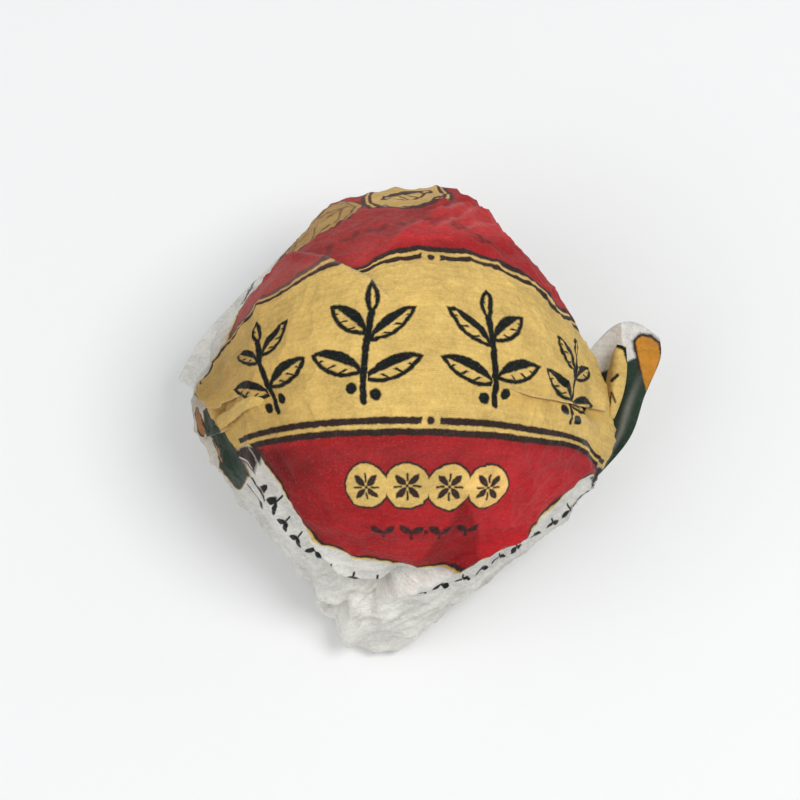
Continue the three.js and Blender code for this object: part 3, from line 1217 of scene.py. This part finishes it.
# The curled ear on the right
ear = {
    "grid": (110, 70),
    "root": [(11.8, -4.1, -5.2), (12.6, -1.2, -3.2), (12.4, 3.2, -2.0)],
    "rim": [
        (12.8, -4.8, -6.0), (15.7, -1.9, -4.0), (16.8, 0.8, -2.5),
        (17.9, 3.3, -1.8), (17.95, 4.9, -1.9),
    ],
    "scoop": 1.95,
    "scoopWay": (0, 0.94, 0.34),
    "valley": 1.3,
    "valleyWay": (-0.3, 0.34, -0.94),
    "roll": 0.9,
    "rollAcross": (0.72, 1.15),
    "wrinkle": 0.2,
    "lump": 0.08,
    "ridge": 0.8,
    "ridgeAlong": (0.55, 0.85),
    "ridgeWidth": 0.13,
    # a highlight painted in paper colour along the ridge near the rim: its share, where across, how
    # narrow
    "wornAndHighlight": 0.9,
    "highlightAcross": 0.8,
    "wornAndHighlightWidth": 0.06,
    "thickness": 0.16,
    "patch": [  # the orange patch, in the picture plane
        (16.75, 0.3), (17.4, 1.5), (17.75, 2.8), (17.6, 3.55),
        (17.0, 4.0), (16.4, 4.1), (16.0, 3.7), (16.35, 2.0),
    ],
}


def earPrint(art):
    x, y = sides(art.place)
    art.ink("green", inside(y - x * 0.43 + 4.3, 0.2))
    patch = facet(art.place, ear["patch"])
    art.ink("brown", inside((patch - 0.24).most(-y + 1.4), 0.2))
    art.ink("orange", inside(patch))


def buildEar():
    mesh, along, across = buildGrid("ear", *ear["grid"])
    root = lineAt(ear["root"], along)
    rim = lineAt(ear["rim"], along)
    bulge = np.sin(math.pi * across)
    cup = ear["valley"] * bulge * np.sin(math.pi * np.minimum(along + 0.15, 1))
    points = root + (rim - root) * across[:, None]
    points += np.array(ear["scoopWay"]) * (ear["scoop"] * bulge * along**4)[:, None]
    points += unit(np.array(ear["valleyWay"])) * cup[:, None]
    points -= cameraWay * (ear["roll"] * smooth(across, *ear["rollAcross"]) ** 1.5)[:, None]
    folds = noiseAt(np.stack([along * 2, across * 5, along * 0], axis=1))
    points += cameraWay * (ear["wrinkle"] * folds)[:, None]
    points += cameraWay * (ear["lump"] * lumps(points, 0.9, 4.0))[:, None]
    ridge = np.exp(-(np.abs(across - 0.5) / ear["ridgeWidth"]) ** 1.3)
    ridge *= smooth(along, *ear["ridgeAlong"])
    points += cameraWay * (ear["ridge"] * ridge)[:, None]
    # painted highlight: the paper colour mixed in along the ridge near the rim, where light catches
    # it
    wornAndHighlight = ear["wornAndHighlight"] * np.exp(-(((across - ear["highlightAcross"]) / ear["wornAndHighlightWidth"]) ** 2))
    wornAndHighlight *= smooth(0.75 - along, 0, 0.3)
    writePaper(mesh, pictured(points), wornAndHighlight)
    writePoints(mesh, points)
    materials = [paperMaterial("ear_paper", earPrint), barePaper]
    finishSheet("ear", mesh, materials, cameraWay, ear["thickness"])


# The small gold lip in front of the ear
innerLip = {
    "grid": (60, 30),
    "foot": (14.3, -1.0, -1.9),
    "tip": (15.1, 3.6, 0.2),
    "sideways": (0.95, -0.1, -0.25),
    "width": 1.15,
    "bulge": 0.55,
    "lump": 0.06,
    "thickness": 0.12,
}


def lipPrint(art):
    x, y = sides(art.place)
    art.flood("gold")
    tip = stroke(art.place, [(14.7, 3.5), (15.25, 3.2), (15.5, 2.3)], [0.16, 0.13])
    dash = bar(art.place, (14.4, 1.0), (14.75, 1.4), 0.13)
    art.ink("black", inside(tip.least(dash)))
    seam = stroke(art.place, [(14.2, -0.7), (14.35, 0.2), (14.6, -0.5)], [0.07, 0.07])
    art.ink("brown", inside(seam))
    # painted shade on the lip's left part
    art.tone("lip shade", inside(x - y * 0.12 - 14.35, 0.4))


def buildInnerLip():
    mesh, along, across = buildGrid("inner_lip", *innerLip["grid"])
    foot, tip = np.array(innerLip["foot"]), np.array(innerLip["tip"])
    breadth = innerLip["width"] * (0.25 + np.sin(math.pi * (0.1 + 0.8 * along)))
    points = foot + (tip - foot) * along[:, None]
    points += unit(np.array(innerLip["sideways"])) * (breadth * (across - 0.5))[:, None]
    crown = (1 - (2 * across - 1) ** 2) * np.sin(math.pi * np.minimum(along + 0.2, 1))
    rise = innerLip["bulge"] * crown + innerLip["lump"] * lumps(points, 0.8, 2.0)
    points += cameraWay * rise[:, None]
    writePaper(mesh, pictured(points))
    writePoints(mesh, points)
    paper = paperMaterial("lip_paper", lipPrint)
    finishSheet("inner_lip", mesh, [paper], cameraWay, innerLip["thickness"])


# The white flap on the left
sideFlap = {
    "grid": (80, 30),
    "root": [(-6.5, 9.9, 0.5), (-9.3, 6.6, -2.7), (-12.6, 2.6, -5.8), (-13.6, 1.9, -6.6)],
    "rim": [
        (-8.4, 10.2, 1.2), (-11.6, 8.4, -2.5), (-14.4, 6.1, -5.0),
        (-15.9, 4.35, -7.2), (-16.15, 3.9, -7.5),
    ],
    "bulge": 0.16,
    "lump": 0.12,
    "thickness": 0.16,
}


def flapPrint(art):
    corners = [(-9.9, 9.0), (-11.5, 5.9), (-12.5, 4.1), (-13.3, 2.3)]
    art.ink("black", inside(stroke(art.place, corners, [0.05, 0.07, 0.11])))


def buildSideFlap():
    mesh, along, across = buildGrid("side_flap", *sideFlap["grid"])
    root = lineAt(sideFlap["root"], along)
    rim = lineAt(sideFlap["rim"], along)
    points = rim + (root - rim) * across[:, None]
    rise = sideFlap["bulge"] * np.sin(math.pi * across) + sideFlap["lump"] * lumps(points, 2.0, 6.0)
    points += cameraWay * rise[:, None]
    writePaper(mesh, pictured(points))
    writePoints(mesh, points)
    materials = [paperMaterial("flap_paper", flapPrint), barePaper]
    finishSheet("side_flap", mesh, materials, cameraWay, sideFlap["thickness"])


# The twisted end of the sheet, where the gathered tail is pinched
knot = {
    "divisions": 6,
    "at": (-5.1, -11.2, -10.8),
    "size": (1.25, 1.5, 1.15),
    "crease": 0.175,
    "bulge": 0.12,
}


def buildKnot():
    bm = bmesh.new()
    bmesh.ops.create_icosphere(bm, subdivisions=knot["divisions"], radius=1.0)
    mesh = meshFrom("twisted_end", bm)
    outward = readPoints(mesh)
    ridges = 1 - 2 * np.abs(lumps(outward, 0.9, 1.3))
    bulges = lumps(outward, 0.6, 5.0)
    points = outward * (1 + knot["crease"] * (ridges - 0.6) + knot["bulge"] * bulges)[:, None]
    points = points * knot["size"] + knot["at"]
    writePaper(mesh, pictured(points))
    writePoints(mesh, points)
    piece = finishPiece("twisted_end", mesh, [barePaper])
    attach(piece, "root")


buildEar()
buildInnerLip()
buildSideFlap()
buildKnot()
print("loose folds made")

# The plain floor, the soft lights and the room's light
studio = {
    "floorSize": 1.5,
    "floorColour": (243, 243, 242),
    "floorRoughness": 0.6,
    "keyPower": 0.5,
    "keySize": 0.15,
    "keyAt": (0.13, -0.05, 0.33),
    "fillPower": 0.3,
    "fillSize": 0.3,
    "fillAt": (-0.19, -0.1, 0.3),
    "lightsMeet": (0, 0, 0.01),
    "worldColour": (246, 249, 252),
    "worldStrength": 0.585,
}


def buildStage():
    bm = bmesh.new()
    bmesh.ops.create_grid(bm, x_segments=1, y_segments=1, size=studio["floorSize"])
    paint = bpy.data.materials.new("floor")
    paint.use_nodes = True
    shader = paint.node_tree.nodes["Principled BSDF"]
    shader.inputs["Base Color"].default_value = srgb(*studio["floorColour"])
    shader.inputs["Roughness"].default_value = studio["floorRoughness"]
    floor = finishPiece("floor", meshFrom("floor", bm), [paint])


def aim(thing, place, target):
    thing.location = place
    thing.rotation_euler = (Vector(target) - Vector(place)).to_track_quat("-Z", "Y").to_euler()


def softLight(name):
    light = bpy.data.lights.new(name, "AREA")
    light.shape = "DISK"
    light.size = studio[name + "Size"]
    light.energy = studio[name + "Power"]
    lamp = bpy.data.objects.new(name, light)
    bpy.context.scene.collection.objects.link(lamp)
    aim(lamp, studio[name + "At"], studio["lightsMeet"])


def buildLights():
    softLight("key")
    softLight("fill")
    world = bpy.data.worlds.new("room")
    world.use_nodes = True
    background = world.node_tree.nodes["Background"]
    background.inputs["Color"].default_value = srgb(*studio["worldColour"])
    background.inputs["Strength"].default_value = studio["worldStrength"]
    bpy.context.scene.world = world
    bpy.context.scene.view_settings.view_transform = "Standard"


def buildCamera():
    target = centre - view["offMiddle"] * rightWay - view["offMiddle"] * upWay
    camera = bpy.data.cameras.new("camera")
    camera.lens = view["lens"]
    camera.sensor_width = 36
    holder = bpy.data.objects.new("camera", camera)
    bpy.context.scene.collection.objects.link(holder)
    aim(holder, tuple((target + cameraWay * view["distance"]) * mm), tuple(target * mm))
    bpy.context.scene.camera = holder


buildStage()
buildLights()
buildCamera()
print("stage, lights and camera made")
